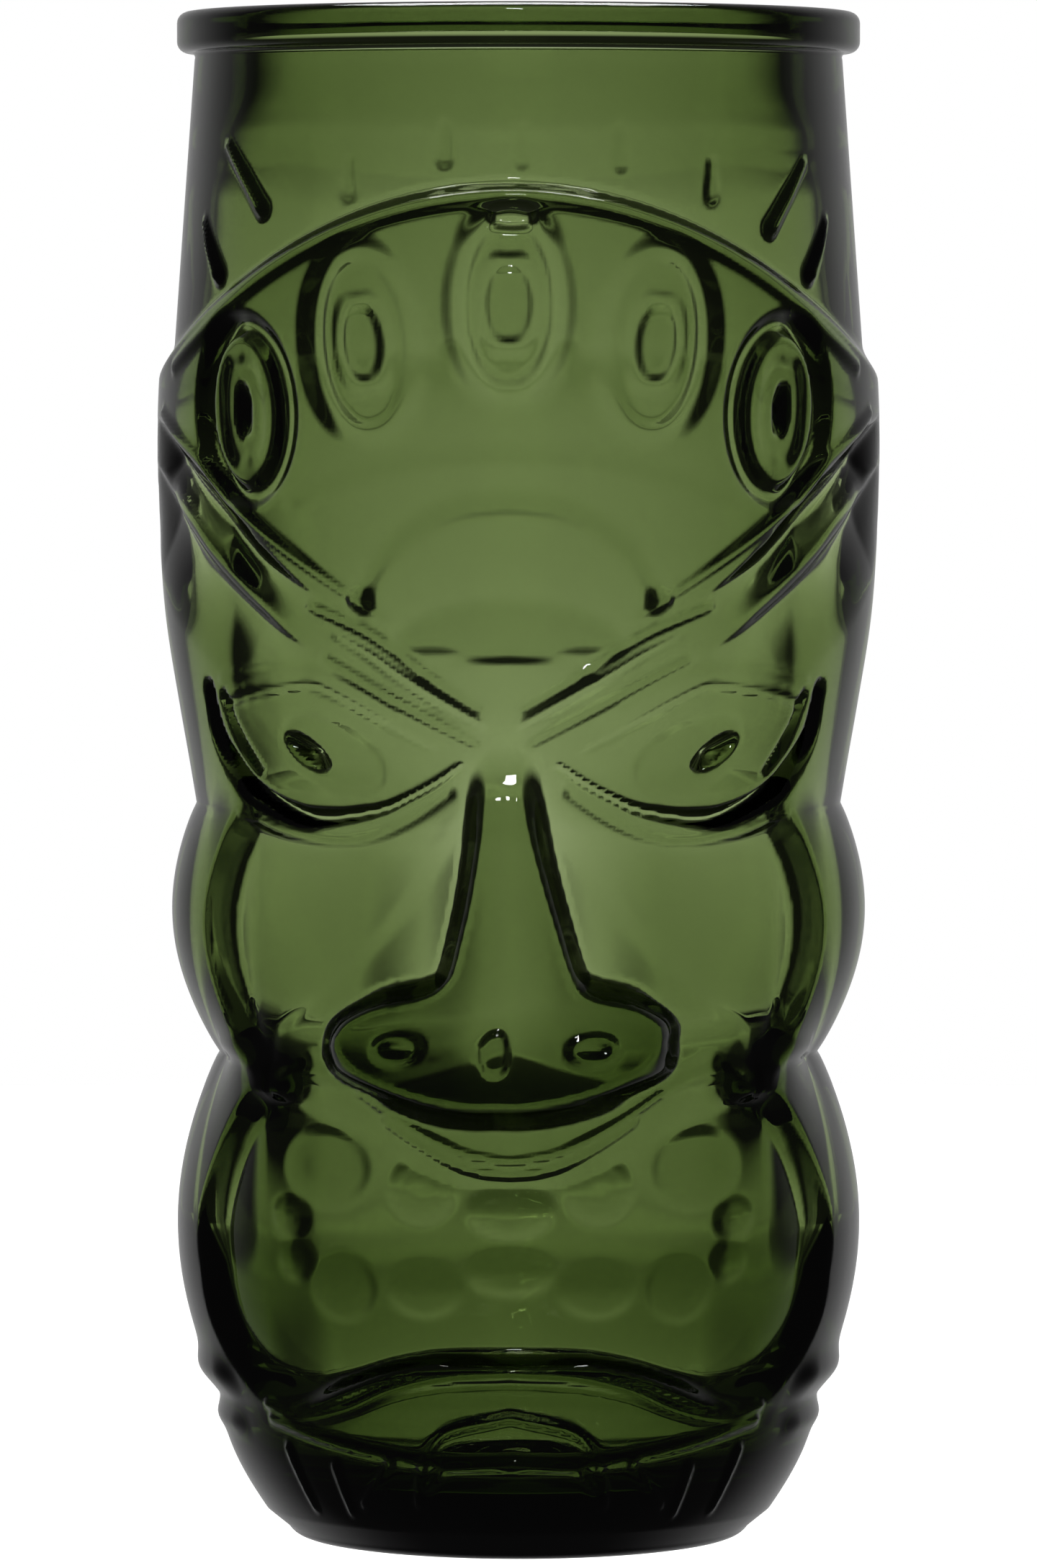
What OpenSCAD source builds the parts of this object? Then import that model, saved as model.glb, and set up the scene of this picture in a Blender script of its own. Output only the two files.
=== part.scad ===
// A press-moulded glass tumbler in the shape of a carved tiki head.
// Frame: +Z up, the face looks along -Y, origin at the centre of the resting plane.
// The glass is one casting; each module is one moulded region of it and meets its neighbours face to face.

/* [Tumbler] */
// Height from the table to the lip
height = 165; // [150:1:180]
// Largest diameter, at the headband
body_diameter = 78.2; // [74:0.2:84]
// Thickness of the wall between the cavity and the untouched outside
wall = 3.7; // [3.5:0.1:4.5]
// Thickness of the glass bottom beside the dome
base_thickness = 8.5; // [7:0.5:11]
// Rise of the dome in the middle of the cavity floor
floor_dome = 3; // [1:0.1:3.5]

/* [Lip] */
// How far the lip bead stands out past the crown wall
bead_overhang = 1.95; // [1:0.05:2.5]
// Height of the lip bead
bead_height = 4.4; // [3:0.1:6]
// Wall thickness of the heavy band under the lip
finish_wall = 2.9; // [2.4:0.1:3.6]
// Depth of the heavy band under the lip, from the lip down
finish_depth = 9.7; // [8:0.1:12]

/* [Relief] */
// Depth of the carved fields of the face
carve_depth = 1.6; // [1.2:0.1:1.9]
// Height of the forehead plate over the crown wall
plate_height = 1.3; // [1:0.1:1.4]
// Height of the eyeballs, teeth and brow bands over the carved ground
boss_height = 1.1; // [0.6:0.1:1.2]
// Height of the small drops on the crown
drop_height = 0.8; // [0.5:0.1:1.2]

/* [Foot] */
// Diameter of the outer edge of the resting ring
foot_diameter = 50.6; // [46:0.2:54]
// Diameter of the hollow under the foot
punt_diameter = 40; // [34:1:42]
// Depth of the hollow under the foot
punt_depth = 3.6; // [2:0.1:4.4]

/* [Hidden] */

glass = [0.30, 0.42, 0.18];
$fn = 96;
step = 2.8;            // largest height of one conical facet of a curved wall
u = height / 165;      // every height below is given for a 165 mm tumbler
v = body_diameter / 78.2; // every radius below is given for a 78.2 mm body

// Heights of the borders between the moulded regions
foot_top = 15.5 * u;
jaw_top = 52.6 * u;
cheek_top = 79.5 * u;
crown_bottom = 130.6 * u;
bead_bottom = height - bead_height;
finish_bottom = height - finish_depth;

// Radii at those borders
foot_r = foot_diameter / 2;
foot_top_r = 32.4 * v;
jaw_top_r = 32.4 * v;
cheek_top_r = 34.9 * v;
crown_bottom_r = 37.1 * v;
crown_top_r = 34.95 * v;
bead_r = crown_top_r + bead_overhang;
bead_round = 1.1;

// Swelling of each lobe: [amount, skew of its crest, fullness]
jaw_lobe = [4.65 * v, 1, 0.85];
cheek_lobe = [3.85 * v, 1, 0.85];
brow_lobe = [2.9 * v, 1.5, 0.7];
inner_softening = 0.75; // share of a lobe's swelling that the cavity follows

function between(z, z0, z1) = (z - z0) / (z1 - z0);
function swell(t, lobe) = lobe[0] * pow(max(0, sin(180 * pow(t, lobe[1]))), lobe[2]);
function lobe_r(z, z0, r0, z1, r1, lobe) =
    let (t = between(z, z0, z1)) r0 + (r1 - r0) * t + swell(t, lobe);
function cone(z) =
    crown_bottom_r + (crown_top_r - crown_bottom_r) * between(z, crown_bottom, bead_bottom);

// Outside radius of the plain wall
function outside(z) =
      z <= foot_top ? foot_r + (foot_top_r - foot_r) * sin(90 * z / foot_top)
    : z <= jaw_top ? lobe_r(z, foot_top, foot_top_r, jaw_top, jaw_top_r, jaw_lobe)
    : z <= cheek_top ? lobe_r(z, jaw_top, jaw_top_r, cheek_top, cheek_top_r, cheek_lobe)
    : z <= crown_bottom
        ? lobe_r(z, cheek_top, cheek_top_r, crown_bottom, crown_bottom_r, brow_lobe)
    : cone(z);

// Radius of the cavity: it follows the lobes softly
function soft(lobe) = [lobe[0] * inner_softening, lobe[1], 1];
function cavity(z) = (
      z <= jaw_top ? lobe_r(z, foot_top, foot_top_r, jaw_top, jaw_top_r, soft(jaw_lobe))
    : z <= cheek_top
        ? lobe_r(z, jaw_top, jaw_top_r, cheek_top, cheek_top_r, soft(cheek_lobe))
    : z <= crown_bottom
        ? lobe_r(z, cheek_top, cheek_top_r, crown_bottom, crown_bottom_r, soft(brow_lobe))
    : cone(z)) - wall;

// Heights from z0 to z1 in even steps, both ends included
function levels(z0, z1) =
    let (n = max(1, ceil((z1 - z0) / step))) [for (i = [0:n]) z0 + (z1 - z0) * i / n];
function reversed(list) = [for (i = [len(list) - 1:-1:0]) list[i]];

// A ring between two profiles, given as lists of [radius, height]
module ring(outer, inner) {
    rotate_extrude() polygon(concat(outer, reversed(inner)));
}

// A ring between z0 and z1 that runs from inset below the outside to inset_top below it
module skin(z0, z1, inset, inset_top) {
    zs = levels(z0, z1);
    ring([for (z = zs) [outside(z) - inset_top, z]], [for (z = zs) [outside(z) - inset, z]]);
}

// A prism through the front of the tumbler, from a list of [x, z] points of the front view
module front(points) {
    rotate([90, 0, 0]) linear_extrude(height = 50) polygon([for (p = points) [p[0] * v, p[1] * u]]);
}

function mirrored(points) = reversed([for (p = points) [-p[0], p[1]]]);
function ellipse(cx, cz, a, b, tilt = 0, n = 20) =
    [for (i = [0:n - 1]) let (t = 360 * i / n, x = a * cos(t), z = b * sin(t))
        [cx + x * cos(tilt) - z * sin(tilt), cz + x * sin(tilt) + z * cos(tilt)]];
// An arched bar with its ends at height cz, from its half-width w, its rise and its thickness
function arch(cz, w, rise, n = 10) =
    [for (i = [0:n]) let (x = w * (2 * i / n - 1)) [x, cz + rise * (1 - pow(x / w, 2))]];
function arch_bar(cz, w, rise, bar) =
    concat(arch(cz + bar / 2, w, rise), reversed(arch(cz - bar / 2, w, rise)));

// Front-view outlines, for the right half of the face (x > 0)
arch_r = 47;      // radius of the headband's upper edge
arch_z = 98.8;    // height of that arc's centre
jewels = [[0, 134, 5.9, 9.9, 0], [15.8, 129.2, 5.5, 9.9, -6], [28.6, 122.3, 4.8, 9.4, -4]];
frown_lines = [[102, 15.5, 7.5, 1.8], [98, 10.5, 3.5, 1.6]]; // [height of the ends, half-width, rise, bar]
eye_socket = [[34.0, 92.4], [28.5, 95.0], [23.8, 95.2], [18.0, 92.9], [12.5, 89.6], [7.5, 87.2],
              [4.8, 86.6], [9.2, 83.7], [15.0, 81.0], [21.7, 79.9], [28.0, 82.4], [31.9, 86.8]];
eyeball = [[31.0, 91.0], [27.5, 93.2], [23.5, 93.6], [18.0, 91.2], [12.5, 88.0], [9.0, 86.6],
           [13.0, 83.9], [19.0, 82.3], [25.0, 83.0], [29.0, 86.4]];
brow_channel = [[38.9, 124.0], [38.9, 112.8], [34.0, 107.4], [28.0, 101.2], [21.6, 96.9], [11.1, 91.8],
                [4.0, 90.0], [3.0, 91.2], [15.2, 98.9], [22.0, 103.6], [28.0, 108.4], [34.0, 114.6]];
brow_band = [[38.6, 121.0], [38.6, 115.6], [34.0, 109.6], [28.0, 103.2], [21.6, 98.7],
             [13.0, 93.9], [7.0, 91.8], [15.2, 97.6], [22.0, 102.0], [28.0, 106.6], [34.0, 112.8]];
cheek_field = [[0, 52.6], [24.0, 52.6], [28.3, 54.6], [31.4, 60.0], [32.5, 66.0], [31.8, 72.0], [29.6, 76.8],
               [25.0, 79.5], [0, 79.5]];
nose_outline = [[0, 48.6], [6.9, 49.4], [11.3, 51.0], [15.0, 53.0], [17.0, 55.4], [16.4, 57.6], [13.8, 59.4],
                [11.0, 60.6], [8.2, 61.0], [5.8, 67.4], [4.4, 74.0], [2.3, 82.0], [0, 82.4]];
mouth_field = [[0, 41.4], [7.6, 42.6], [16.0, 45.2], [22.0, 47.2], [26.5, 46.6], [30.2, 42.8], [31.6, 37.4],
               [31.6, 32.0], [30.8, 26.4], [29.4, 21.6], [26.6, 18.6], [23.0, 18.2], [17.0, 20.4],
               [10.0, 23.2], [4.0, 24.2], [0, 24.4]];
chin_outline = [[0, 21.6], [12.3, 20.2], [19.0, 17.4], [24.0, 16.0], [14.0, 16.0], [0, 16.0]];
upper_tooth = [[0, 37.9, 4.5, 2.6], [10.6, 39.8, 4.2, 3.3], [21.2, 41.0, 4.6, 3.7], [25.4, 33.9, 1.9, 2.2]];
lower_tooth = [[0, 30.6, 4.9, 2.5], [11.0, 29.0, 4.5, 2.9], [20.8, 27.3, 3.9, 3.2]];
drops = [[0, 151.0, 0], [10.2, 150.4, -8], [20.8, 147.6, -16], [29.8, 145.4, -24], [34.4, 139.0, -22]];

function both_sides(half) = concat(half, reversed([for (p = half) if (p[0] > 0.01) [-p[0], p[1]]]));

// A raised boss with a flat root on the carved ground
module boss(points, z0, z1) {
    intersection() {
        skin(z0 * u, z1 * u, carve_depth, carve_depth - boss_height);
        front(points);
    }
}

// What is cut away over a carved field
module carve(points, z0, z1) {
    intersection() {
        skin(z0 * u, z1 * u, carve_depth, -3);
        front(points);
    }
}

module jewel_prisms() {
    for (j = jewels) {
        front(ellipse(j[0], j[1], j[2], j[3], j[4]));
        if (j[0] > 0) front(ellipse(-j[0], j[1], j[2], j[3], -j[4]));
    }
}

module rim_bead() {
    bore_r = cone(bead_bottom) - finish_wall;
    color(glass) rotate_extrude() polygon(concat(
        [[bore_r, bead_bottom], [bead_r - bead_round, bead_bottom]],
        [for (a = [-60:30:0]) [bead_r - bead_round + bead_round * cos(a),
                               bead_bottom + bead_round + bead_round * sin(a)]],
        [for (a = [0:30:90]) [bead_r - bead_round + bead_round * cos(a),
                              height - bead_round + bead_round * sin(a)]],
        [for (a = [90:30:180]) [bore_r + bead_round + bead_round * cos(a),
                                height - bead_round + bead_round * sin(a)]]));
}

module crown_wall() {
    ledge = 2.2; // height over which the heavy band thins to the body wall
    bore_r = cone(bead_bottom) - finish_wall;
    color(glass) ring(
        [[cone(crown_bottom), crown_bottom], [cone(bead_bottom), bead_bottom]],
        [[cavity(crown_bottom), crown_bottom], [cavity(finish_bottom - ledge), finish_bottom - ledge],
         [bore_r, finish_bottom], [bore_r, bead_bottom]]);
}

// The region of the headband, brows and eyes
module brow_wall() {
    zs = levels(cheek_top, crown_bottom);
    color(glass) difference() {
        ring([for (z = zs) [outside(z), z]], [for (z = zs) [cavity(z), z]]);
        intersection() {
            ring([[body_diameter, 110 * u], [body_diameter, 140 * u]],
                 [[cone(110 * u), 110 * u], [cone(140 * u), 140 * u]]);
            jewel_prisms();
        }
        carve(eye_socket, 79.5, 98);
        carve(mirrored(eye_socket), 79.5, 98);
        carve(brow_channel, 86, 127);
        carve(mirrored(brow_channel), 86, 127);
    }
}

// The region of the ears and cheeks
module cheek_wall() {
    zs = levels(jaw_top, cheek_top);
    color(glass) difference() {
        ring([for (z = zs) [outside(z), z]], [for (z = zs) [cavity(z), z]]);
        carve(both_sides(cheek_field), 52.6, 79.5);
    }
}

// The region of the mouth
module jaw_wall() {
    zs = levels(foot_top, jaw_top);
    color(glass) difference() {
        ring([for (z = zs) [outside(z), z]], [for (z = zs) [cavity(z), z]]);
        carve(both_sides(mouth_field), 15.5, 52.6);
    }
}

// The solid bottom, with the rounded cavity floor above and the hollow below
module base_slug() {
    corner = foot_top - base_thickness; // radius of the cavity's bottom corner
    floor_r = cavity(foot_top) - corner;
    dome_r = 13;                         // radius of the dome's foot
    punt_steps = 8;                      // facets of the hollow's domed roof
    color(glass) difference() {
        rotate_extrude() polygon(concat(
            [[0, 0], [foot_r, 0]],
            [for (i = [1:6]) let (z = foot_top * i / 6) [outside(z), z]],
            [for (a = [0:-22.5:-90]) [floor_r + corner * cos(a), foot_top + corner * sin(a)]],
            [for (t = [1:-0.2:0]) [dome_r * t, base_thickness + floor_dome * pow(1 - t * t, 2)]]));
        rotate_extrude() polygon(concat([[0, -1], [punt_diameter / 2, -1]],
            [for (i = [0:punt_steps]) let (a = 90 * i / punt_steps)
                [punt_diameter / 2 * cos(a), punt_depth * sin(a)]]));
    }
}

// The forehead stands proud of the crown under an arched upper edge
module headband_plate() {
    low = 125.2 * u;
    lower = levels(low, crown_bottom);
    top = (arch_z + arch_r) * u;
    arc = [for (a = [35:10:145]) [arch_r * cos(a), arch_z + arch_r * sin(a)]];
    color(glass) difference() {
        intersection() {
            ring([[cone(low) + plate_height, low], [cone(top) + plate_height, top]],
                 concat([for (z = lower) [min(outside(z), cone(z) + plate_height), z]], [[cone(top), top]]));
            front(concat([[40, 120]], arc, [[-40, 120]]));
        }
        jewel_prisms();
    }
}

// One oval boss in its dish; side is 1 on the +X half and -1 on the other
module jewel(index, side) {
    j = jewels[index];
    low = (j[1] - j[3]) * u;
    high = (j[1] + j[3]) * u;
    color(glass) intersection() {
        ring([[cone(low) + 0.9, low], [cone(high) + 0.9, high]], [[cone(low), low], [cone(high), high]]);
        front(ellipse(side * j[0], j[1], j[2] * 0.62, j[3] * 0.66, side * j[4]));
    }
}

// Two arched frown lines on the forehead
module forehead_wrinkles() {
    proud = 0.2;
    color(glass) for (w = frown_lines) {
        intersection() {
            skin(95 * u, 111 * u, 0, -proud);
            front(arch_bar(w[0], w[1], w[2], w[3]));
        }
    }
}

module brow_band(side) {
    color(glass) boss(side > 0 ? brow_band : mirrored(brow_band), 86, 127);
}

module eye(side) {
    color(glass) boss(side > 0 ? eyeball : mirrored(eyeball), 79.5, 98);
}

// The nose fills its part of the carved cheek field and laps over the upper lip and the bridge
module nose() {
    low = levels(48 * u, jaw_top);
    middle = levels(jaw_top, cheek_top);
    high = levels(cheek_top, 83 * u);
    ridge = [[48, 37.2], [55, 38.6], [60, 38.2], [83, 36.9]]; // [height, radius] down the nose
    color(glass) intersection() {
        ring([for (p = ridge) [p[1] * v, p[0] * u]],
             concat([for (z = low) [outside(z), z]], [for (z = middle) [outside(z) - carve_depth, z]],
                    [for (z = high) [outside(z), z]]));
        front(both_sides(nose_outline));
    }
}

module teeth(row) {
    color(glass) for (t = row) {
        boss(ellipse(t[0], t[1], t[2], t[3], 0, 14), 15.5, 52.6);
        if (t[0] > 0) boss(ellipse(-t[0], t[1], t[2], t[3], 0, 14), 15.5, 52.6);
    }
}

module chin() {
    color(glass) intersection() {
        skin(foot_top, 23 * u, 0, -0.8);
        front(both_sides(chin_outline));
    }
}

// Two rolls round the sides and the back, under the jaw
module neck_rolls() {
    half = 1.8 * u;
    proud = 0.7;
    color(glass) for (z = [18.4 * u, 23.8 * u]) {
        intersection() {
            ring([[outside(z - half), z - half], [outside(z) + proud, z], [outside(z + half), z + half]],
                 [[outside(z - half), z - half], [outside(z + half), z + half]]);
            translate([-50, -12, 0]) cube([100, 62, height]);
        }
    }
}

module crown_drops() {
    color(glass) for (d = drops, side = d[0] > 0 ? [-1, 1] : [1]) {
        intersection() {
            ring([[cone(134 * u) + drop_height, 134 * u], [cone(155 * u) + drop_height, 155 * u]],
                 [[cone(134 * u), 134 * u], [cone(155 * u), 155 * u]]);
            front(ellipse(side * d[0], d[1], 1.3, 2.4, side * d[2], 12));
        }
    }
}

rim_bead();
crown_wall();
brow_wall();
cheek_wall();
jaw_wall();
base_slug();
headband_plate();
jewel(0, 1);  // jewel_centre
jewel(1, -1);  // jewel_inner_left
jewel(1, 1);  // jewel_inner_right
jewel(2, -1);  // jewel_outer_left
jewel(2, 1);  // jewel_outer_right
forehead_wrinkles();
brow_band(-1);  // brow_band_left
brow_band(1);  // brow_band_right
eye(-1);  // eye_left
eye(1);  // eye_right
nose();
teeth(upper_tooth);  // upper_teeth
teeth(lower_tooth);  // lower_teeth
chin();
neck_rolls();
crown_drops();
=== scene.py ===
"""A pressed green glass tiki tumbler: one moulded piece of glass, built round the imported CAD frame.

All shapes are in millimetres until make_glass() scales them to metres. The unrolled coordinates of the
outside are s, the arc length from the middle of the face along the plain wall, and z, the height.
"""
import math

import bpy
import numpy as np
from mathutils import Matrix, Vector


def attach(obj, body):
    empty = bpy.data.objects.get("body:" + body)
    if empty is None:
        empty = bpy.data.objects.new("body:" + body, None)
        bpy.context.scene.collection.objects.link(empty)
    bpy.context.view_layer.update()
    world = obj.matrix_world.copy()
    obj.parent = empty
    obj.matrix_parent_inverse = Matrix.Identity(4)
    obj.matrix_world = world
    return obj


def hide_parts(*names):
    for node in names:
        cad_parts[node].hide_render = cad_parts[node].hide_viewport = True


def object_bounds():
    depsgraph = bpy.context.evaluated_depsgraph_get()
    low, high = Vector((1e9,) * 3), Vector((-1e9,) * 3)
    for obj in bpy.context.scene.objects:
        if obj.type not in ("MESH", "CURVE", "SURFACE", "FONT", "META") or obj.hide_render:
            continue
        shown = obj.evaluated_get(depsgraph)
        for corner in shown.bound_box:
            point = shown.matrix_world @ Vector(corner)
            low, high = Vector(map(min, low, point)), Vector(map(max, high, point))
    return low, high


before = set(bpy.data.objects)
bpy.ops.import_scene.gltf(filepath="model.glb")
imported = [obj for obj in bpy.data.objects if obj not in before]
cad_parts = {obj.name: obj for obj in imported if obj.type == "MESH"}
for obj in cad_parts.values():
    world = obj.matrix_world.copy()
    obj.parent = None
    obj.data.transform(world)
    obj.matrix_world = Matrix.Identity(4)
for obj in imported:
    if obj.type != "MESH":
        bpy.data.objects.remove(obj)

cad_low, cad_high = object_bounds()
MM = 0.001
HEIGHT = (cad_high.z - cad_low.z) / MM

# ---------------------------------------------------------------- profiles of the plain glass
FOOT_TOP, JAW_TOP, CHEEK_TOP, CROWN_BOTTOM = 15.5, 52.6, 79.5, 130.6    # heights where the lobes meet
BEAD_BOTTOM, FINISH_BOTTOM = HEIGHT - 4.4, HEIGHT - 7.0     # of the rim bead, and of the straight bore inside
FINISH_WALL, LEDGE = 4.0, 8.0                       # the bore's wall, and the stretch easing into the cavity
FOOT_R, JAW_R, CHEEK_R = 25.3, 32.4, 34.9           # at the bottom, beside the jaw, and over the cheek
CROWN_FOOT_R, CROWN_R, RIM_R = 37.1, 34.95, 36.9    # the crown's bottom and top, and the bead
FOOT_SWELL, JAW_SWELL, CHEEK_SWELL, FULLNESS = 7.1, 4.65, 3.85, 0.85
BROW_HEIGHTS = [79.5, 84.0, 90.0, 100.0, 110.0, 122.0, 131.0, 146.0, 170.0]
BROW_RADII = [34.9, 35.65, 36.7, 38.25, 38.9, 39.05, 38.55, 37.5, 36.0]
FRONT_HEIGHTS = [0.0, 4.0, 9.0, 15.5, 24.0, 36.0, 52.0, 66.0, 80.0, 92.0, 105.0, 118.0, 131.0, 146.0, 170.0]
FRONT_RADII = [25.3, 28.3, 30.6, 32.4, 35.2, 36.6, 36.6, 36.6, 36.0, 36.8, 38.0, 38.7, 38.5, 37.5, 36.0]
PLAIN_HEIGHTS, PLAIN_RADII = [0, 15, 30, 80, 100, 130, 165], [30.0, 34.5, 37.3, 37.3, 39.2, 39.2, 36.9]
ARCH_R, ARCH_Z = 47.0, 98.8                         # the headband's arch: radius and its centre's height


def smooth(t):
    t = np.clip(t, 0.0, 1.0)
    return t * t * (3.0 - 2.0 * t)


def swell(t, amount):
    """A rounded lobe: 0 at both ends, the amount in the middle."""
    return amount * np.sin(np.pi * np.clip(t, 0.0, 1.0)) ** FULLNESS


def span(z, z0, r0, z1, r1):
    """Radius on the straight line between two heights, and how far along it z is."""
    t = (z - z0) / (z1 - z0)
    return r0 + (r1 - r0) * t, t


def crown(z):
    return span(z, CROWN_BOTTOM, CROWN_FOOT_R, BEAD_BOTTOM, CROWN_R)[0]


def smooth_curve(z, xs, ys):
    """Smooth cubic through a few points (Hermite with averaged slopes)."""
    xs, ys = np.array(xs), np.array(ys)
    slopes = np.gradient(ys, xs)
    i = np.clip(np.searchsorted(xs, z) - 1, 0, len(xs) - 2)
    h = xs[i + 1] - xs[i]
    t = (z - xs[i]) / h
    return ((1 + 2 * t) * (1 - t) ** 2 * ys[i] + t * (1 - t) ** 2 * h * slopes[i]
            + t * t * (3 - 2 * t) * ys[i + 1] + t * t * (t - 1) * h * slopes[i + 1])


def side_profile(z):
    """Outside radius where the silhouette shows it: foot, jaw, cheek and brow lobes."""
    foot = FOOT_R + FOOT_SWELL * np.sin(np.pi / 2 * np.clip(z / FOOT_TOP, 0, 1))
    jaw, jaw_t = span(z, FOOT_TOP, JAW_R, JAW_TOP, JAW_R)
    cheek, cheek_t = span(z, JAW_TOP, JAW_R, CHEEK_TOP, CHEEK_R)
    lobes = [jaw + swell(jaw_t, JAW_SWELL), cheek + swell(cheek_t, CHEEK_SWELL)]
    brow = smooth_curve(z, BROW_HEIGHTS, BROW_RADII)
    return np.select([z <= FOOT_TOP, z <= JAW_TOP, z <= CHEEK_TOP], [foot, lobes[0], lobes[1]], brow)


def front_profile(z):
    """Outside radius down the middle of the face, which has no notches between the lobes."""
    return smooth_curve(z, FRONT_HEIGHTS, FRONT_RADII)


def headband_edge(theta):
    """Height of the step from the headband down to the crown: an arch in front, level behind."""
    x = 37.5 * np.sin(np.clip(np.abs(theta), 0, np.pi / 2))
    return ARCH_Z + np.sqrt(ARCH_R ** 2 - x ** 2)


def plain_radius(theta, z):
    """Outside radius with the lobes, the headband and the crown, before any carving."""
    turn = np.degrees(np.abs(theta))
    # the notches between the lobes fade out toward the face, and nearly so behind
    face = smooth((76.0 - turn) / 30.0) + 0.8 * smooth((turn - 115.0) / 40.0)
    body = side_profile(z) * (1 - face) + front_profile(z) * face
    # two rolls over the foot, on the sides and behind
    rolls = 0.95 * np.exp(-((z - 18.4) / 1.9) ** 2) + 0.5 * np.exp(-((z - 13.2) / 1.2) ** 2)
    body = body + rolls * smooth((turn - 62.0) / 8.0)
    # the headband's top edge, sharp in front and softer behind
    step = 1.6 + 2.2 * smooth((turn - 50.0) / 40.0)
    under = smooth(0.5 - (z - headband_edge(theta)) / step)
    return crown(z) + (body - crown(z)) * np.where(z < 120.0, 1.0, under)


# ---------------------------------------------------------------- drawing on the unrolled outside
def unrolled(points, sunk=0.0):
    """Front-view (x, z) points to (s, z) on the plain wall; points may lie sunk under it."""
    out = []
    for x, z in points:
        r = float(plain_wall(z))
        out.append((math.copysign(math.asin(min(abs(x) / (r - sunk), 0.9995)), x) * r, z))
    return np.array(out)


def plain_wall(z):
    """Radius of the smooth wall that the carving is unrolled on."""
    return np.interp(z, PLAIN_HEIGHTS, PLAIN_RADII)


def curve(points, closed=False, spacing=0.7):
    """Catmull-Rom curve through the points, as a dense line."""
    p = np.array(points, float)
    n = len(p)
    if closed:
        ring = [p[(i - 1) % n] for i in range(n + 3)]
    else:
        ring = [2 * p[0] - p[1], *p, 2 * p[-1] - p[-2]]
    out = []
    for a, b, c, d in zip(ring, ring[1:], ring[2:], ring[3:]):
        steps = max(2, int(np.linalg.norm(c - b) / spacing))
        for t in np.linspace(0, 1, steps, endpoint=False):
            out.append(0.5 * (2 * b + (c - a) * t + (2 * a - 5 * b + 4 * c - d) * t ** 2
                              + (3 * b - a - 3 * c + d) * t ** 3))
    if not closed:
        out.append(p[-1])
    return np.array(out)


def line_distance(s, z, line, values=None, closed=False, reach=6.0):
    """Distance to a dense line, and the value carried along it where it is nearest."""
    if closed:
        line = np.vstack([line, line[:1]])
    best = np.full(s.shape, 1e3)
    carried = np.zeros(s.shape)
    low, high = line.min(axis=0) - reach, line.max(axis=0) + reach
    near = (s > low[0]) & (s < high[0]) & (z > low[1]) & (z < high[1])
    ps, pz = s[near], z[near]
    d = np.full(ps.shape, 1e3)
    v = np.zeros(ps.shape)
    for i in range(len(line) - 1):
        a, b = line[i], line[i + 1]
        ab = b - a
        length = max(float(ab @ ab), 1e-9)
        t = np.clip(((ps - a[0]) * ab[0] + (pz - a[1]) * ab[1]) / length, 0, 1)
        e = np.hypot(ps - a[0] - t * ab[0], pz - a[1] - t * ab[1])
        closer = e < d
        d = np.where(closer, e, d)
        if values is not None:
            v = np.where(closer, values[i] + (values[i + 1] - values[i]) * t, v)
    best[near] = d
    carried[near] = v
    return best, carried


def inside(s, z, loop):
    """Even-odd test against a closed dense line."""
    hit = np.zeros(s.shape, bool)
    for a, b in zip(loop, np.roll(loop, -1, axis=0)):
        crosses = (a[1] > z) != (b[1] > z)
        with np.errstate(divide="ignore", invalid="ignore"):
            at = (b[0] - a[0]) * (z - a[1]) / (b[1] - a[1]) + a[0]
        hit ^= crosses & (s < at)
    return hit


def region(s, z, points, sunk=0.0):
    """Signed distance to a closed outline given in front view, negative inside."""
    loop = curve(unrolled(points, sunk), closed=True)
    d, _ = line_distance(s, z, loop, closed=True)
    return np.where(inside(s, z, loop), -d, d)


def near_curve(s, z, points, widths, reach=6.0):
    """Distance to a curve given in front view, its width at the nearest place, and its dense line."""
    dense = curve(unrolled(points))
    w = np.interp(np.linspace(0, 1, len(dense)), np.linspace(0, 1, len(widths)), widths)
    return *line_distance(s, z, dense, values=w, reach=reach), dense


def stroke(s, z, points, widths, depth):
    """A groove (depth < 0) or a ridge (depth > 0) along a curve; width and depth taper with the widths."""
    d, here, _ = near_curve(s, z, points, widths)
    half = np.maximum(here, 1e-3) / 2
    return depth * (here / max(widths)) * (1 - smooth(d / half))


def strokes(s, z, table):
    return sum(stroke(s, z, *row) for row in table)


def cliff(s, z, points, widths, depth, run):
    """A steep step down across a curve, which comes back gently over the run below it."""
    d, here, dense = near_curve(s, z, points, widths, reach=run + 4.0)
    order = np.argsort(dense[:, 0])
    below = z < np.interp(s, dense[order, 0], dense[order, 1])
    t = np.where(below, d, -d)
    fall = np.clip(t / np.maximum(here, 1e-3) + 0.5, 0, 1)
    back = 1 - smooth((t - here / 2) / run)
    return -depth * (here / max(widths)) * fall * back


def turned(s, z, cx, cz, tilt):
    """Coordinates about a front-view point, along axes turned by tilt degrees."""
    cs, _ = unrolled([(cx, cz)])[0]
    c, t = math.cos(math.radians(tilt)), math.sin(math.radians(tilt))
    return (s - cs) * c + (z - cz) * t, -(s - cs) * t + (z - cz) * c


def ellipse(s, z, cx, cz, a, b, tilt=0.0):
    """Signed distance to an ellipse centred at a front-view point, negative inside."""
    x, y = turned(s, z, cx, cz, tilt)
    k1 = np.hypot(x / a, y / b)
    k2 = np.maximum(np.hypot(x / a ** 2, y / b ** 2), 1e-6)
    return k1 * (k1 - 1) / k2


def pit(s, z, cx, cz, a, b, tilt=0.0):
    """A cone-sided hollow in an elliptical outline: 1 at its middle, 0 on the outline."""
    x, y = turned(s, z, cx, cz, tilt)
    return np.clip(1 - np.hypot(x / a, y / b), 0, 1)


def rise(d, wall):
    """1 inside an outline, falling to 0 over the wall's width outside it, rounded at its top."""
    return smooth(1 - d / wall)


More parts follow.
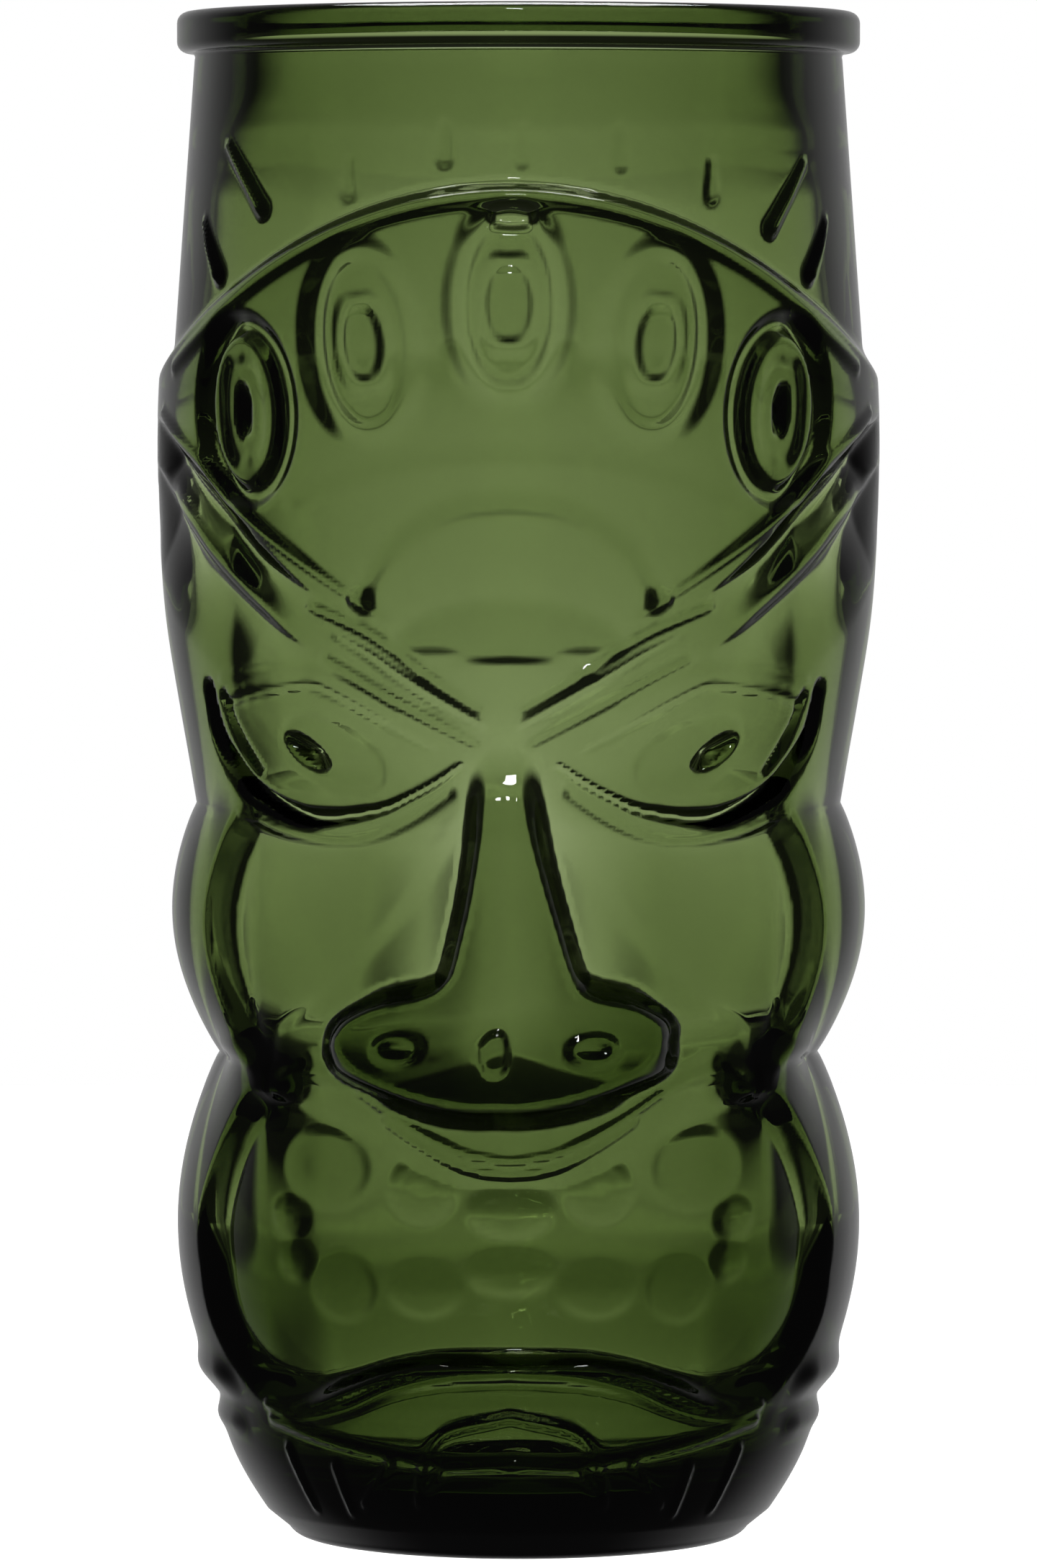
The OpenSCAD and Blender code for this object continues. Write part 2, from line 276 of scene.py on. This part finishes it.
def dig(d, wall):
    """1 inside an outline, falling to 0 over the wall's width outside it: a steep, nearly straight cliff."""
    t = np.clip(d / wall, 0, 1)
    return 1 - t + 0.2 * np.sin(2 * np.pi * t) / (2 * np.pi)


def ring(d, width):
    """A rounded bead on an outline."""
    return smooth(1 - np.abs(d) / width)


# ---------------------------------------------------------------- the carving
# Outlines of the right half of the face, as (x, z) in the front view.
MOUTH = [(0, 40.6), (5.0, 40.9), (8.5, 41.9), (13.0, 43.7), (18.0, 45.8), (21.5, 47.4), (24.3, 48.4),
         (26.8, 47.5), (29.2, 44.1), (30.8, 39.5), (31.7, 34.6), (31.6, 29.9), (30.8, 26.0), (29.0, 22.6),
         (26.2, 20.3), (22.6, 19.6), (18.3, 20.6), (13.4, 22.2), (7.8, 23.3), (0, 23.5)]
NOSE = [(0, 49.9), (3.0, 49.9), (7.0, 50.5), (11.0, 51.7), (14.2, 53.5), (16.0, 55.6), (15.7, 57.5),
        (14.0, 58.9), (12.1, 59.7), (9.0, 60.4), (7.0, 61.3), (6.0, 62.5), (5.4, 64.0), (4.6, 67.0),
        (3.5, 71.6), (2.4, 77.4), (1.8, 81.4), (1.4, 86.0), (0, 90.0)]
EAR_BAR = [(25.5, 53.6), (28.2, 57.0), (29.6, 61.0), (30.2, 66.0), (30.0, 71.0), (29.0, 76.0), (27.2, 80.0)]
# Ovals as (x, z, half width, half height, tilt in degrees).
PUPIL, EYEBALL = (22.3, 86.4, 3.9, 1.35, 29), (19.6, 86.2, 6.4, 2.6, 22)
OVALS = [(0.2, 133.4, 5.4, 9.2, 0), (15.7, 129.4, 6.0, 9.6, -7)]
OUTER_OVAL = (29.0, 122.3, 7.0, 9.2, -8)
# Strokes as (line, widths along it, height over the wall, negative for a groove).
EYE_STROKES = [     # the groove under the eye, the two lids, the fold below and the sliver beside
    ([(33.9, 92.5), (32.9, 87.5), (30.6, 83.7), (28.3, 81.5), (24.5, 79.6), (20.8, 79.3), (14.6, 80.3),
      (11.0, 81.8), (8.0, 83.4), (5.3, 85.2)], [2.6, 3.4, 3.8, 3.6, 3.2, 2.6, 2.0, 1.6, 1.3, 1.0], -2.8),
    ([(32.0, 91.0), (28.4, 92.3), (24.6, 93.0), (21.8, 93.2), (17.9, 91.6), (13.4, 89.3), (8.4, 86.9)],
     [1.4, 1.6, 1.6, 1.4, 1.2], -0.4),
    ([(32.5, 93.6), (28.6, 94.8), (24.6, 95.3), (20.5, 95.0), (16.5, 93.4), (12.5, 91.2)],
     [1.2, 1.6, 1.6, 1.2], 0.22),
    ([(30.5, 79.3), (27.5, 77.9), (24.9, 77.3), (20.3, 76.8), (15.8, 77.4), (10.9, 79.4), (6.5, 82.2)],
     [1.6, 2.2, 2.2, 2.2, 1.6], 0.45),
    ([(32.2, 92.0), (30.6, 88.0), (27.7, 84.0)], [1.4, 1.6, 1.0], -1.0)]
BROW_UPPER = [(39.1, 121.5), (37.8, 119.0), (33.6, 114.0), (29.8, 109.6), (27.3, 107.1), (21.0, 102.6)]
BROW_LOWER = [(39.1, 116.5), (37.9, 113.2), (33.9, 106.9), (29.9, 102.9), (25.6, 99.2), (21.8, 96.9)]
BRIDGE_WIDTHS = [1.6, 2.0, 2.0, 2.0, 1.6]
BRIDGE_STROKES = [  # the groove along the bridge and the ridges beside it
    ([(19.0, 98.6), (15.2, 96.6), (12.0, 94.6), (7.0, 91.8), (2.0, 89.2)], [1.0, 1.8, 2.0, 2.0, 1.4], -0.5),
    ([(22.0, 101.8), (15.0, 98.9), (8.0, 94.4), (2.5, 91.2)], BRIDGE_WIDTHS, 0.5),
    ([(20.0, 96.2), (15.6, 94.0), (10.4, 91.2), (3.0, 87.5)], BRIDGE_WIDTHS, 0.5)]
BROW_OVER = [(38.0, 121.8), (33.5, 116.8), (28.5, 111.0), (21.5, 105.6), (14.0, 100.8)]
WRINKLE_STROKES = [     # the two wrinkles and the frown's lower lip
    ([(0, 112.9), (5.5, 112.2), (10.5, 109.9), (14.0, 106.6), (16.2, 102.6)], [4.4, 4.4, 4.0, 3.2], 0.42),
    ([(0, 118.3), (9.0, 117.6), (17.0, 115.7), (23.5, 113.0)], [4.0, 4.0, 3.0], 0.2),
    ([(0, 96.8), (5.0, 96.2), (9.5, 94.6)], [2.4, 2.4, 1.8], 0.16)]
FROWN = [(0, 101.4), (5.5, 101.0), (9.5, 99.6), (11.3, 98.2), (7.5, 98.2), (3.5, 97.6), (0, 97.4)]
CHEEK_PLANE = [(1.0, 80.5), (5.6, 76.5), (10.4, 69.8), (14.5, 65.2), (19.0, 61.2), (25.5, 56.0), (22.0, 53.0),
               (10.0, 54.0), (0, 60.0)]
LIP_WIDTHS, ARCH_WIDTHS, RAY_WIDTHS = [1.4, 1.8, 1.8], [1.6, 1.8, 1.8], [1.8, 1.4]
LOWER_STROKES = [   # the muzzle, the lip's two ridges, the chin's top and bottom, the foot's arches and rays
    ([(34.0, 54.2), (31.0, 54.2), (28.0, 52.9), (24.0, 52.5), (20.0, 51.9), (17.0, 50.4)],
     [3.0, 3.6, 3.2, 2.0], 0.3),
    ([(16.5, 50.4), (12.7, 47.9), (8.8, 45.8), (5.0, 44.2), (0, 43.4)], LIP_WIDTHS, 0.55),
    ([(14.0, 47.4), (10.5, 45.2), (6.5, 43.2), (3.0, 42.3), (0, 42.0)], LIP_WIDTHS, 0.55),
    ([(0, 20.9), (7.0, 20.4), (13.0, 18.9), (18.5, 16.4), (24.0, 14.9), (28.0, 16.2)],
     [2.4, 2.4, 2.2, 1.8], 0.55),
    ([(0, 10.6), (6.0, 10.8), (11.5, 11.3), (20.0, 12.7), (27.5, 14.6)], [2.2, 2.2, 2.2, 1.8], 0.6),
    ([(10.6, 6.5), (10.0, 10.5), (7.4, 14.3), (0, 16.2)], ARCH_WIDTHS, 0.5),
    ([(9.4, 8.3), (7.0, 10.4), (0, 11.4)], ARCH_WIDTHS, 0.5),
    ([(13.5, 11.0), (17.0, 6.0)], RAY_WIDTHS, 0.5),
    ([(20.0, 10.0), (18.6, 5.0)], RAY_WIDTHS, 0.5),
    ([(25.5, 11.5), (23.0, 5.0)], RAY_WIDTHS, 0.5)]
# Teeth as (x, z, half width, half height).
TEETH = [(0, 38.0, 4.6, 2.5), (10.3, 40.3, 3.8, 3.2), (21.5, 42.2, 5.6, 3.8), (25.8, 36.6, 2.6, 2.1),
         (0, 31.6, 5.0, 2.2), (10.2, 29.6, 4.4, 2.7), (19.8, 29.4, 4.2, 3.4), (25.4, 32.0, 2.3, 1.9)]
# Crown drops as (x, z, tilt, height), and the long ones as lines; they aren't the same on both sides.
DROPS = [(-18.0, 147.0, 8, 0.4), (-7.2, 150.5, 0, 0.8), (1.4, 150.3, 0, 0.4), (12.3, 150.0, 0, 0.5),
         (22.3, 146.7, -8, 0.8)]
LONG_DROPS = [[(-32.2, 150.4), (-30.0, 147.0), (-27.9, 143.6)], [(32.6, 148.5), (30.7, 145.0), (28.7, 141.5)],
              [(-35.0, 142.4), (-34.2, 139.6), (-33.0, 136.6)], [(35.0, 142.4), (34.2, 139.6), (33.0, 136.6)]]
# How far the nose and the bridge of the brows lean off the middle.
NOSE_HEIGHTS, NOSE_SHIFTS, BRIDGE_SHIFT = [56.0, 63.0, 70.0, 82.0], [-1.4, 0.3, 0.1, -0.5], -0.9


def nose_shift(z):
    """How far the nose leans off the middle of the face at a height."""
    return np.interp(z, NOSE_HEIGHTS, NOSE_SHIFTS)


def both(points):
    """Closed outline from its right half, given from the top or bottom centre round to the other."""
    return points + [(-x, z) for x, z in reversed(points) if x > 0.01]


def oval_relief(s, z, cx, cz, a, b, tilt, depth, boss_a, boss_b, boss_h, wall, pupil=0.0):
    """A groove round a raised oval ring, deepest on its outer side, with a drop-shaped boss in the middle."""
    edge = ellipse(s, z, cx, cz, a, b, tilt)
    bead = ellipse(s, z, cx, cz, a - 2.1, b - 1.9, tilt)
    boss = ellipse(s, z, cx, cz, boss_a, boss_b, tilt)
    outward = 0.5 + 0.5 * smooth((s - unrolled([(cx, cz)])[0][0] + 1.0) / 5.0)
    groove = -depth * outward * rise(edge, wall) * (1 - 0.9 * rise(bead, 1.7))
    middle = boss_h * rise(boss, 1.4) - pupil * pit(s, z, cx, cz, boss_a, boss_b, tilt)
    return groove - 0.3 * rise(boss - 1.4, 1.5) + middle


def teardrop(s, z, cx, cz, tilt, height):
    """A small drop on the crown, thin at its top and round at its bottom."""
    out = 0.0
    for k, size in ((0.9, 0.25), (0.2, 0.45), (-0.5, 0.7), (-1.0, 0.85)):
        out = np.maximum(out, rise(ellipse(s, z, cx, cz + 1.6 * k, size * 0.6, size * 0.9, tilt), 0.8))
    return 0.28 * height * out


def cheeks(a, z):
    """Sunk fields between the ears, deepest along them."""
    bar = unrolled(EAR_BAR, sunk=1.8)
    ear, _ = line_distance(a, z, curve(bar), reach=40.0)
    across = np.where(a < np.interp(z, bar[:, 1], bar[:, 0]), -ear, ear)
    fade = smooth((z - 48.0) / 13.0) * smooth((82.5 - z) / 7.0)
    return -2.6 * dig(across, 3.0) * fade * (0.4 + 0.6 * smooth((a - 8.0) / 22.0))


def mouth(a, z):
    """A sunk field with pillow teeth; its bank is gentle along the upper lip and wide at the low corners."""
    field = region(a, z, both(MOUTH), sunk=1.6)
    gentle = smooth((z - 37.0) / 6.0) * smooth((29.0 - a) / 6.0)
    corner = np.exp(-((a - 30.0) / 8.0) ** 2 - ((z - 19.0) / 7.0) ** 2)
    depth = 3.0 - 0.6 * smooth((a - 22.0) / 12.0)
    bank = 2.0 + 5.5 * gentle + 2.2 * corner + 0.8 * smooth((a - 28.0) / 6.0)
    h = -depth * dig(field, bank)
    for x, height, half_width, half_height in TEETH:
        tooth = ellipse(a, z, x, height, half_width, half_height)
        h += 0.2 * rise(tooth + 0.7, 1.6) + 0.12 * smooth(-tooth / 2.5)
    return h


def nose(middle, z):
    """A raised plate with steep sides, which sinks into the bridge, with nostrils and a drop at its tip."""
    plate = region(middle, z, both(NOSE))
    wings = smooth((60.5 - z) / 3.0) * smooth((z - 50.0) / 3.0)
    side = 2.7 + 1.7 * wings + 0.6 * smooth((51.0 - z) / 2.0)
    h = 3.9 * smooth((89.0 - z) / 12.0) * dig(plate, side)
    h += 0.5 * ring(ellipse(middle, z, 9.6, 55.6, 2.0, 1.1), 1.0)
    return h + 0.6 * rise(ellipse(middle, z, 0, 55.2, 0.9, 1.8), 1.0)


def eyes(a, z):
    return (strokes(a, z, EYE_STROKES) + 0.25 * rise(ellipse(a, z, *EYEBALL), 1.4)
            - 2.8 * pit(a, z, *PUPIL))


def brows(a, bridge, z):
    """Bands that drop steeply at both lines and meet in ridges over the bridge."""
    h = cliff(a, z, BROW_UPPER, [0.05, 3.4, 3.4, 3.0, 2.2, 0.05], depth=2.4, run=4.5)
    h += cliff(a, z, BROW_LOWER, [0.05, 3.4, 3.4, 2.6, 1.7, 0.05], depth=2.0, run=9.0)
    return h + strokes(bridge, z, BRIDGE_STROKES) + stroke(a, z, BROW_OVER, [2.0, 2.2, 2.2, 2.0, 1.2], 0.45)


def forehead(a, z):
    """Three ovals and their mirror images, wrinkles and a frown under the headband's arch."""
    h = strokes(a, z, WRINKLE_STROKES)
    for oval in OVALS:
        h += oval_relief(a, z, *oval, depth=0.65, boss_a=1.4, boss_b=3.0, boss_h=0.5, wall=2.4)
    h += oval_relief(a, z, *OUTER_OVAL, depth=1.7, boss_a=1.3, boss_b=3.1, boss_h=0.0, wall=1.9, pupil=2.0)
    h += 0.4 * rise(ellipse(a, z, 16.3, 102.3, 0.8, 1.0), 1.2)
    h += 0.6 * rise(region(a, z, both(FROWN)), 2.0)
    arch = [(x, ARCH_Z + math.sqrt(ARCH_R ** 2 - x ** 2) - 1.2) for x in np.linspace(0, 36.8, 14)]
    return h + stroke(a, z, arch, [2.6], 0.4)


def crown_marks(s, z):
    """Drops on the crown, and the notch at the top of the headband's arch."""
    h = -1.1 * rise(ellipse(s, z, 0.3, 142.6, 1.7, 0.7), 1.2)
    for x, height, tilt, bulge in DROPS:
        h += teardrop(s, z, x, height, tilt, bulge)
    for line in LONG_DROPS:
        h += stroke(s, z, line, [1.2, 2.4, 3.0], 1.0)
    return h


def relief(s, z):
    """Height of the carving over the plain wall. The face is nearly the same on both sides."""
    a = np.abs(s)
    bridge = np.abs(s - BRIDGE_SHIFT * np.exp(-((z - 91.0) / 7.0) ** 2))
    middle = np.abs(s - nose_shift(z))
    return (cheeks(a, z) + mouth(a, z) + nose(middle, z) + eyes(a, z) + brows(a, bridge, z) + forehead(a, z)
            + crown_marks(s, z) + 0.2 * rise(region(a, z, CHEEK_PLANE), 2.4) + strokes(a, z, LOWER_STROKES))


# ---------------------------------------------------------------- the glass mesh
def spread(edges):
    """Positions from (start, end, spacing) stretches, without repeated ends."""
    out = []
    for start, end, spacing in edges:
        out += list(np.linspace(start, end, max(1, round(abs(end - start) / spacing)), endpoint=False))
    return out + [edges[-1][1]]


FINE, COARSE, FINE_TURN = 0.45, 2.2, 85     # mesh spacing: mm on the face, degrees behind, and where it changes
MEAN_R = 37.0
FLOOR, CORNER, DOME = 8.0, 7.0, 4.0         # the cavity's floor height, rounded corner and middle rise
HOLLOW_R, PUNT = 19.5, 4.4                  # the hollow under the foot: its radius and depth
FOLLOW = 0.5                                # share of the carving that the cavity follows
CARVE_BLUR, BODY_BLUR, CROWN_BLUR = 5.5, 3.0, 7.0   # how softly it follows the carving, lobes and crown step
WALL_HEIGHTS = [8.0, 20.0, 30.0, 45.0, 55.0, 70.0, 90.0, 108.0, 120.0, 130.0, 140.0, 156.0]
WALL_FRONT = [6.2, 5.8, 6.9, 7.5, 5.7, 4.9, 3.8, 4.6, 4.6, 4.4, 4.4, 4.4]
SIDE_WALL, LEAST_WALL = 2.8, 1.2


def columns_and_rows():
    """Angles round the axis, fine on the face and coarse behind, and heights up the outside."""
    fine = math.degrees(FINE / 38.0)
    around = spread([(-180, -FINE_TURN, COARSE), (-FINE_TURN, FINE_TURN, fine), (FINE_TURN, 180, COARSE)])[:-1]
    return np.radians(np.array(around)), np.array(spread([(3.0, BEAD_BOTTOM - 0.8, FINE)]))


def blurred(field, theta, z, blur):
    """A field over the outside as the cavity feels it: smoothed over a few millimetres both ways."""
    def weights(x, turn=None):
        gap = x[:, None] - x[None, :]
        if turn:
            gap = (gap + turn / 2) % turn - turn / 2
        w = np.exp(-(gap / blur) ** 2 / 2) * np.gradient(x)[None, :]
        return w / w.sum(axis=1, keepdims=True)
    return weights(z) @ field @ weights(theta * MEAN_R, 2 * np.pi * MEAN_R).T


def inner_wall(theta, z, plain, carving):
    """Radius of the cavity over the whole outside."""
    T, Z = np.meshgrid(theta, z)
    turn = np.degrees(np.abs(T))
    # thinner at the sides, and a little so beside the crown; thicker behind the cheeks
    side = smooth((turn - 58.0) / 16.0) * smooth((Z - 22.0) / 14.0) * smooth((136.0 - Z) / 14.0)
    crown_side = 1.2 * smooth((turn - 40.0) / 30.0) * smooth((Z - 122.0) / 14.0) * smooth((156.0 - Z) / 12.0)
    wall = np.interp(Z, WALL_HEIGHTS, WALL_FRONT) * (1 - side) + SIDE_WALL * side - crown_side * (1 - side)
    cheek = smooth((turn - 16.0) / 16.0) * smooth((82.0 - Z) / 8.0) * smooth((Z - 54.0) / 8.0)
    wall = wall + 0.9 * cheek * (1 - side)
    upper = smooth((Z - 116.0) / 14.0)
    body = blurred(plain, theta, z, BODY_BLUR) * (1 - upper) + blurred(plain, theta, z, CROWN_BLUR) * upper
    # the cavity bulges forward behind the nose
    behind_nose = np.exp(-((T * plain_wall(Z) - nose_shift(Z)) / 7.0) ** 2)
    bulge = 1.4 * behind_nose * smooth((Z - 42.0) / 16.0) * smooth((92.0 - Z) / 14.0)
    soft = body + FOLLOW * blurred(carving, theta, z, CARVE_BLUR) - wall + bulge
    return np.minimum(soft, plain + carving - LEAST_WALL)


def rounded(cx, cz, radius, start, end, steps):
    """Arc points (radius from the axis, height)."""
    return [(cx + radius * math.cos(math.radians(a)), cz + radius * math.sin(math.radians(a)))
            for a in np.linspace(start, end, steps)]


def foot_rows():
    """From the middle of the hollow underneath, over the resting ring, to the foot's side."""
    hollow = [(r, PUNT * (1 - (r / HOLLOW_R) ** 2) ** 0.9) for r in np.linspace(1.0, HOLLOW_R - 0.2, 24)]
    return hollow + [(20.2, 0.05), (21.2, 0.0), (23.0, 0.0)] + rounded(23.2, 2.2, 2.2, -85, -30, 6)


def rim_rows():
    """From the crown's top, round the bead, to the bore."""
    r = float(crown(BEAD_BOTTOM))
    bore = r - FINISH_WALL + 0.3
    under = rounded(r + 0.5, BEAD_BOTTOM - 0.5, 0.5, 180, 90, 5)
    bead = rounded(RIM_R - 1.2, BEAD_BOTTOM + 1.2, 1.2, -90, 0, 7)
    bead += rounded(RIM_R - 1.2, HEIGHT - 1.2, 1.2, 0, 90, 7)
    top = rounded(bore + 1.2, HEIGHT - 1.2, 1.2, 90, 180, 7)
    return under + bead + top


def cavity_rows(walls, z):
    """Down the cavity: the straight bore, the stretch out of it, the wall, the corner, the domed floor."""
    columns = walls.shape[1]
    bore = float(crown(BEAD_BOTTOM)) - FINISH_WALL
    rows = [(np.full(columns, bore), h) for h in np.linspace(HEIGHT - 2.5, FINISH_BOTTOM + 0.5, 8)]
    start, end = np.searchsorted(z, [FLOOR + CORNER, FINISH_BOTTOM - LEDGE])
    for t in np.linspace(0, 1, 16)[:-1]:
        rows.append((bore + (walls[end] - bore) * smooth(t), FINISH_BOTTOM - t * (FINISH_BOTTOM - z[end])))
    rows += [(walls[i], z[i]) for i in range(end, start, -2)]
    edge = walls[start] - CORNER
    rows += [(edge + x, h) for x, h in rounded(0.0, FLOOR + CORNER, CORNER, 0, -88, 16)]
    flat = float(edge.mean()) - 1.0
    for t in np.linspace(1, 0.03, 30):
        r = flat * t
        rows.append((np.full(columns, r) + (edge - edge.mean()) * t ** 2,
                     FLOOR + DOME * max(0.0, 1 - (r / 13.0) ** 2) ** 2))
    return rows


def make_glass():
    theta, z = columns_and_rows()
    columns = len(theta)
    T, Z = np.meshgrid(theta, z)
    carving = relief(T * plain_wall(Z), Z)
    parts = [(np.full(columns, r), h) for r, h in foot_rows()]
    plain = plain_radius(T, Z)
    parts += list(zip(plain + carving, z))
    parts += [(np.full(columns, r), h) for r, h in rim_rows()]
    parts += cavity_rows(inner_wall(theta, z, plain, carving), z)
    rows, levels = zip(*parts)
    R = np.array(rows)
    Z = np.repeat(np.array(levels)[:, None], columns, axis=1)
    X, Y = R * np.sin(theta), -R * np.cos(theta)
    verts = np.stack([X, Y, Z], axis=-1).reshape(-1, 3) * MM
    ends = np.array([[0, 0, levels[0] + 0.02], [0, 0, levels[-1]]]) * MM
    verts = np.vstack([verts, ends])
    i = np.arange(len(rows) - 1)[:, None] * columns
    j = np.arange(columns)[None, :]
    k = (j + 1) % columns
    corners = np.broadcast_arrays(i + j, i + k, i + columns + k, i + columns + j)
    quads = np.stack(corners, axis=-1).reshape(-1, 4)
    low, high = len(verts) - 2, len(verts) - 1
    last = (len(rows) - 1) * columns
    faces = quads.tolist()
    faces += [(low, (c + 1) % columns, c) for c in range(columns)]
    faces += [(high, last + c, last + (c + 1) % columns) for c in range(columns)]
    mesh = bpy.data.meshes.new("tiki_glass")
    mesh.from_pydata(verts.tolist(), [], faces)
    mesh.shade_smooth()
    mesh.update()
    piece = bpy.data.objects.new("tiki_glass", mesh)
    bpy.context.scene.collection.objects.link(piece)
    return piece


# ---------------------------------------------------------------- materials
def glass_material():
    mat = bpy.data.materials.new("green_glass")
    mat.use_nodes = True
    nodes, links = mat.node_tree.nodes, mat.node_tree.links
    nodes.clear()
    out = nodes.new("ShaderNodeOutputMaterial")
    shader = nodes.new("ShaderNodeBsdfPrincipled")
    shader.inputs["Base Color"].default_value = (1, 1, 1, 1)
    shader.inputs["Roughness"].default_value = 0.0
    shader.inputs["IOR"].default_value = 1.5
    shader.inputs["Transmission Weight"].default_value = 1.0
    links.new(shader.outputs[0], out.inputs["Surface"])
    place = nodes.new("ShaderNodeTexCoord")
    ripple = nodes.new("ShaderNodeTexNoise")
    ripple.inputs["Scale"].default_value = 90.0
    ripple.inputs["Detail"].default_value = 1.0
    links.new(place.outputs["Object"], ripple.inputs["Vector"])
    waves = nodes.new("ShaderNodeBump")
    waves.inputs["Strength"].default_value = 1.0
    waves.inputs["Distance"].default_value = 0.00004
    links.new(ripple.outputs[0], waves.inputs["Height"])
    links.new(waves.outputs[0], shader.inputs["Normal"])
    body = nodes.new("ShaderNodeVolumeAbsorption")
    body.inputs["Color"].default_value = (0.38, 0.47, 0.165, 1)
    body.inputs["Density"].default_value = 500.0
    links.new(body.outputs[0], out.inputs["Volume"])
    return mat


def pale_material(name, colour):
    mat = bpy.data.materials.new(name)
    mat.use_nodes = True
    shader = mat.node_tree.nodes["Principled BSDF"]
    shader.inputs["Base Color"].default_value = (*colour, 1)
    shader.inputs["Roughness"].default_value = 0.9
    return mat


glass = make_glass()
glass.data.materials.append(glass_material())
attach(glass, "root")
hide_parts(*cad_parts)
glass.visible_shadow = False

# ---------------------------------------------------------------- stage, light and camera
bpy.ops.mesh.primitive_circle_add(vertices=128, radius=0.6, fill_type="NGON", location=(0, 0, 0))
floor = bpy.context.object
floor.name = "floor"
floor.data.materials.append(pale_material("pale_floor", (0.9, 0.9, 0.9)))
floor.visible_glossy = False
floor.visible_transmission = False


# Half widths, in degrees, of the bright walls that the glass sees: full inside the first, dark past the second.
WALL_WIDTH, SIDE_WIDTH, WALL_RISE = (8.0, 17.0), (5.0, 10.0), (8.0, 16.0)
WALL_SHIFT = {"X": 0.02, "Y": 0.0, "Z": 0.05}
WALL_LIGHT, SHEEN, DIM = 1.42, 0.35, 0.04


def studio_world():
    """White to the camera. The glass sees soft white walls in four directions, a low band in eight headings for
    the views from above, a faint sheen in its reflections, and dim air between."""
    world = bpy.data.worlds.new("studio")
    bpy.context.scene.world = world
    world.use_nodes = True
    nodes, links = world.node_tree.nodes, world.node_tree.links
    back = nodes["Background"]
    back.inputs["Color"].default_value = (1, 1, 1, 1)
    coord = nodes.new("ShaderNodeTexCoord")
    axes = nodes.new("ShaderNodeSeparateXYZ")
    links.new(coord.outputs["Generated"], axes.inputs[0])

    def math_node(operation, *inputs):
        node = nodes.new("ShaderNodeMath")
        node.operation = operation
        for socket, value in zip(node.inputs, inputs):
            if isinstance(value, float):
                socket.default_value = value
            else:
                links.new(value, socket)
        return node.outputs[0]

    def ramp(value, low, high, bottom, top):
        node = nodes.new("ShaderNodeMapRange")
        node.interpolation_type = "SMOOTHSTEP"
        for name, number in (("From Min", low), ("From Max", high), ("To Min", bottom), ("To Max", top)):
            node.inputs[name].default_value = number
        links.new(value, node.inputs["Value"])
        return node.outputs[0]

    def wall(across, angles):
        centre = math_node("ADD", axes.outputs[across], WALL_SHIFT[across])
        size = math_node("ABSOLUTE", centre)
        return ramp(size, *(math.sin(math.radians(a)) for a in angles), 1.0, 0.0)

    walls = math_node("MULTIPLY", math_node("ADD", wall("X", WALL_WIDTH), wall("Y", SIDE_WIDTH)),
                      wall("Z", WALL_RISE))
    path = nodes.new("ShaderNodeLightPath")
    low = math_node("MULTIPLY", ramp(axes.outputs["Z"], -0.26, -0.21, 0.7, 0.0),
                    ramp(axes.outputs["Z"], -0.42, -0.3, 0.15, 1.0))
    heading = math_node("ARCTAN2", axes.outputs["X"], axes.outputs["Y"])
    eighths = math_node("COSINE", math_node("MULTIPLY", heading, 8.0))
    low = math_node("MULTIPLY", low, ramp(eighths, -0.2, 0.4, 0.1, 1.0))
    through = math_node("MULTIPLY", math_node("ADD", walls, low), path.outputs["Is Transmission Ray"])
    ahead = ramp(axes.outputs["Y"], 0.2, 0.9, 0.0, SHEEN)
    sheen = math_node("MULTIPLY", ahead, path.outputs["Is Reflection Ray"])
    seen = math_node("ADD", math_node("MULTIPLY", through, WALL_LIGHT), math_node("ADD", sheen, DIM))
    pick = nodes.new("ShaderNodeMix")
    links.new(path.outputs["Is Camera Ray"], pick.inputs["Factor"])
    links.new(seen, pick.inputs[2])
    pick.inputs[3].default_value = 1.0
    links.new(pick.outputs[0], back.inputs["Strength"])


studio_world()


def softbox(name, location, target, width, height, power):
    light = bpy.data.lights.new(name, "AREA")
    light.shape = "RECTANGLE"
    light.size, light.size_y = width, height
    light.energy = power
    lamp = bpy.data.objects.new(name, light)
    bpy.context.scene.collection.objects.link(lamp)
    lamp.location = location
    lamp.rotation_mode = "QUATERNION"
    lamp.rotation_quaternion = (Vector(target) - Vector(location)).to_track_quat("-Z", "Y")
    return lamp


softbox("key_softbox", (0.0, -0.9, 0.9), (0, 0, 0.09), 0.10, 0.10, 1.2)
softbox("top_softbox", (0.0, 0.5, 2.2), (0, 0.15, 0), 1.8, 1.2, 75.0)

scene = bpy.context.scene
scene.view_settings.view_transform = "Standard"
scene.cycles.max_bounces = 32
scene.cycles.transmission_bounces = 32
scene.cycles.transparent_max_bounces = 16
scene.cycles.glossy_bounces = 8
scene.cycles.use_denoising = True

CAMERA_TURN, CAMERA_DISTANCE, CAMERA_HEIGHT, AIM_HEIGHT = math.radians(1.5), 1.006, 0.131, 0.0815
lens = bpy.data.cameras.new("camera")
lens.lens = 213.0
lens.sensor_width = 36.0
lens.clip_end = 50.0
camera = bpy.data.objects.new("camera", lens)
scene.collection.objects.link(camera)
camera.location = (CAMERA_DISTANCE * math.sin(CAMERA_TURN), -CAMERA_DISTANCE * math.cos(CAMERA_TURN),
                   CAMERA_HEIGHT)
camera.rotation_mode = "QUATERNION"
camera.rotation_quaternion = (Vector((0, 0, AIM_HEIGHT)) - camera.location).to_track_quat("-Z", "Y")
scene.camera = camera
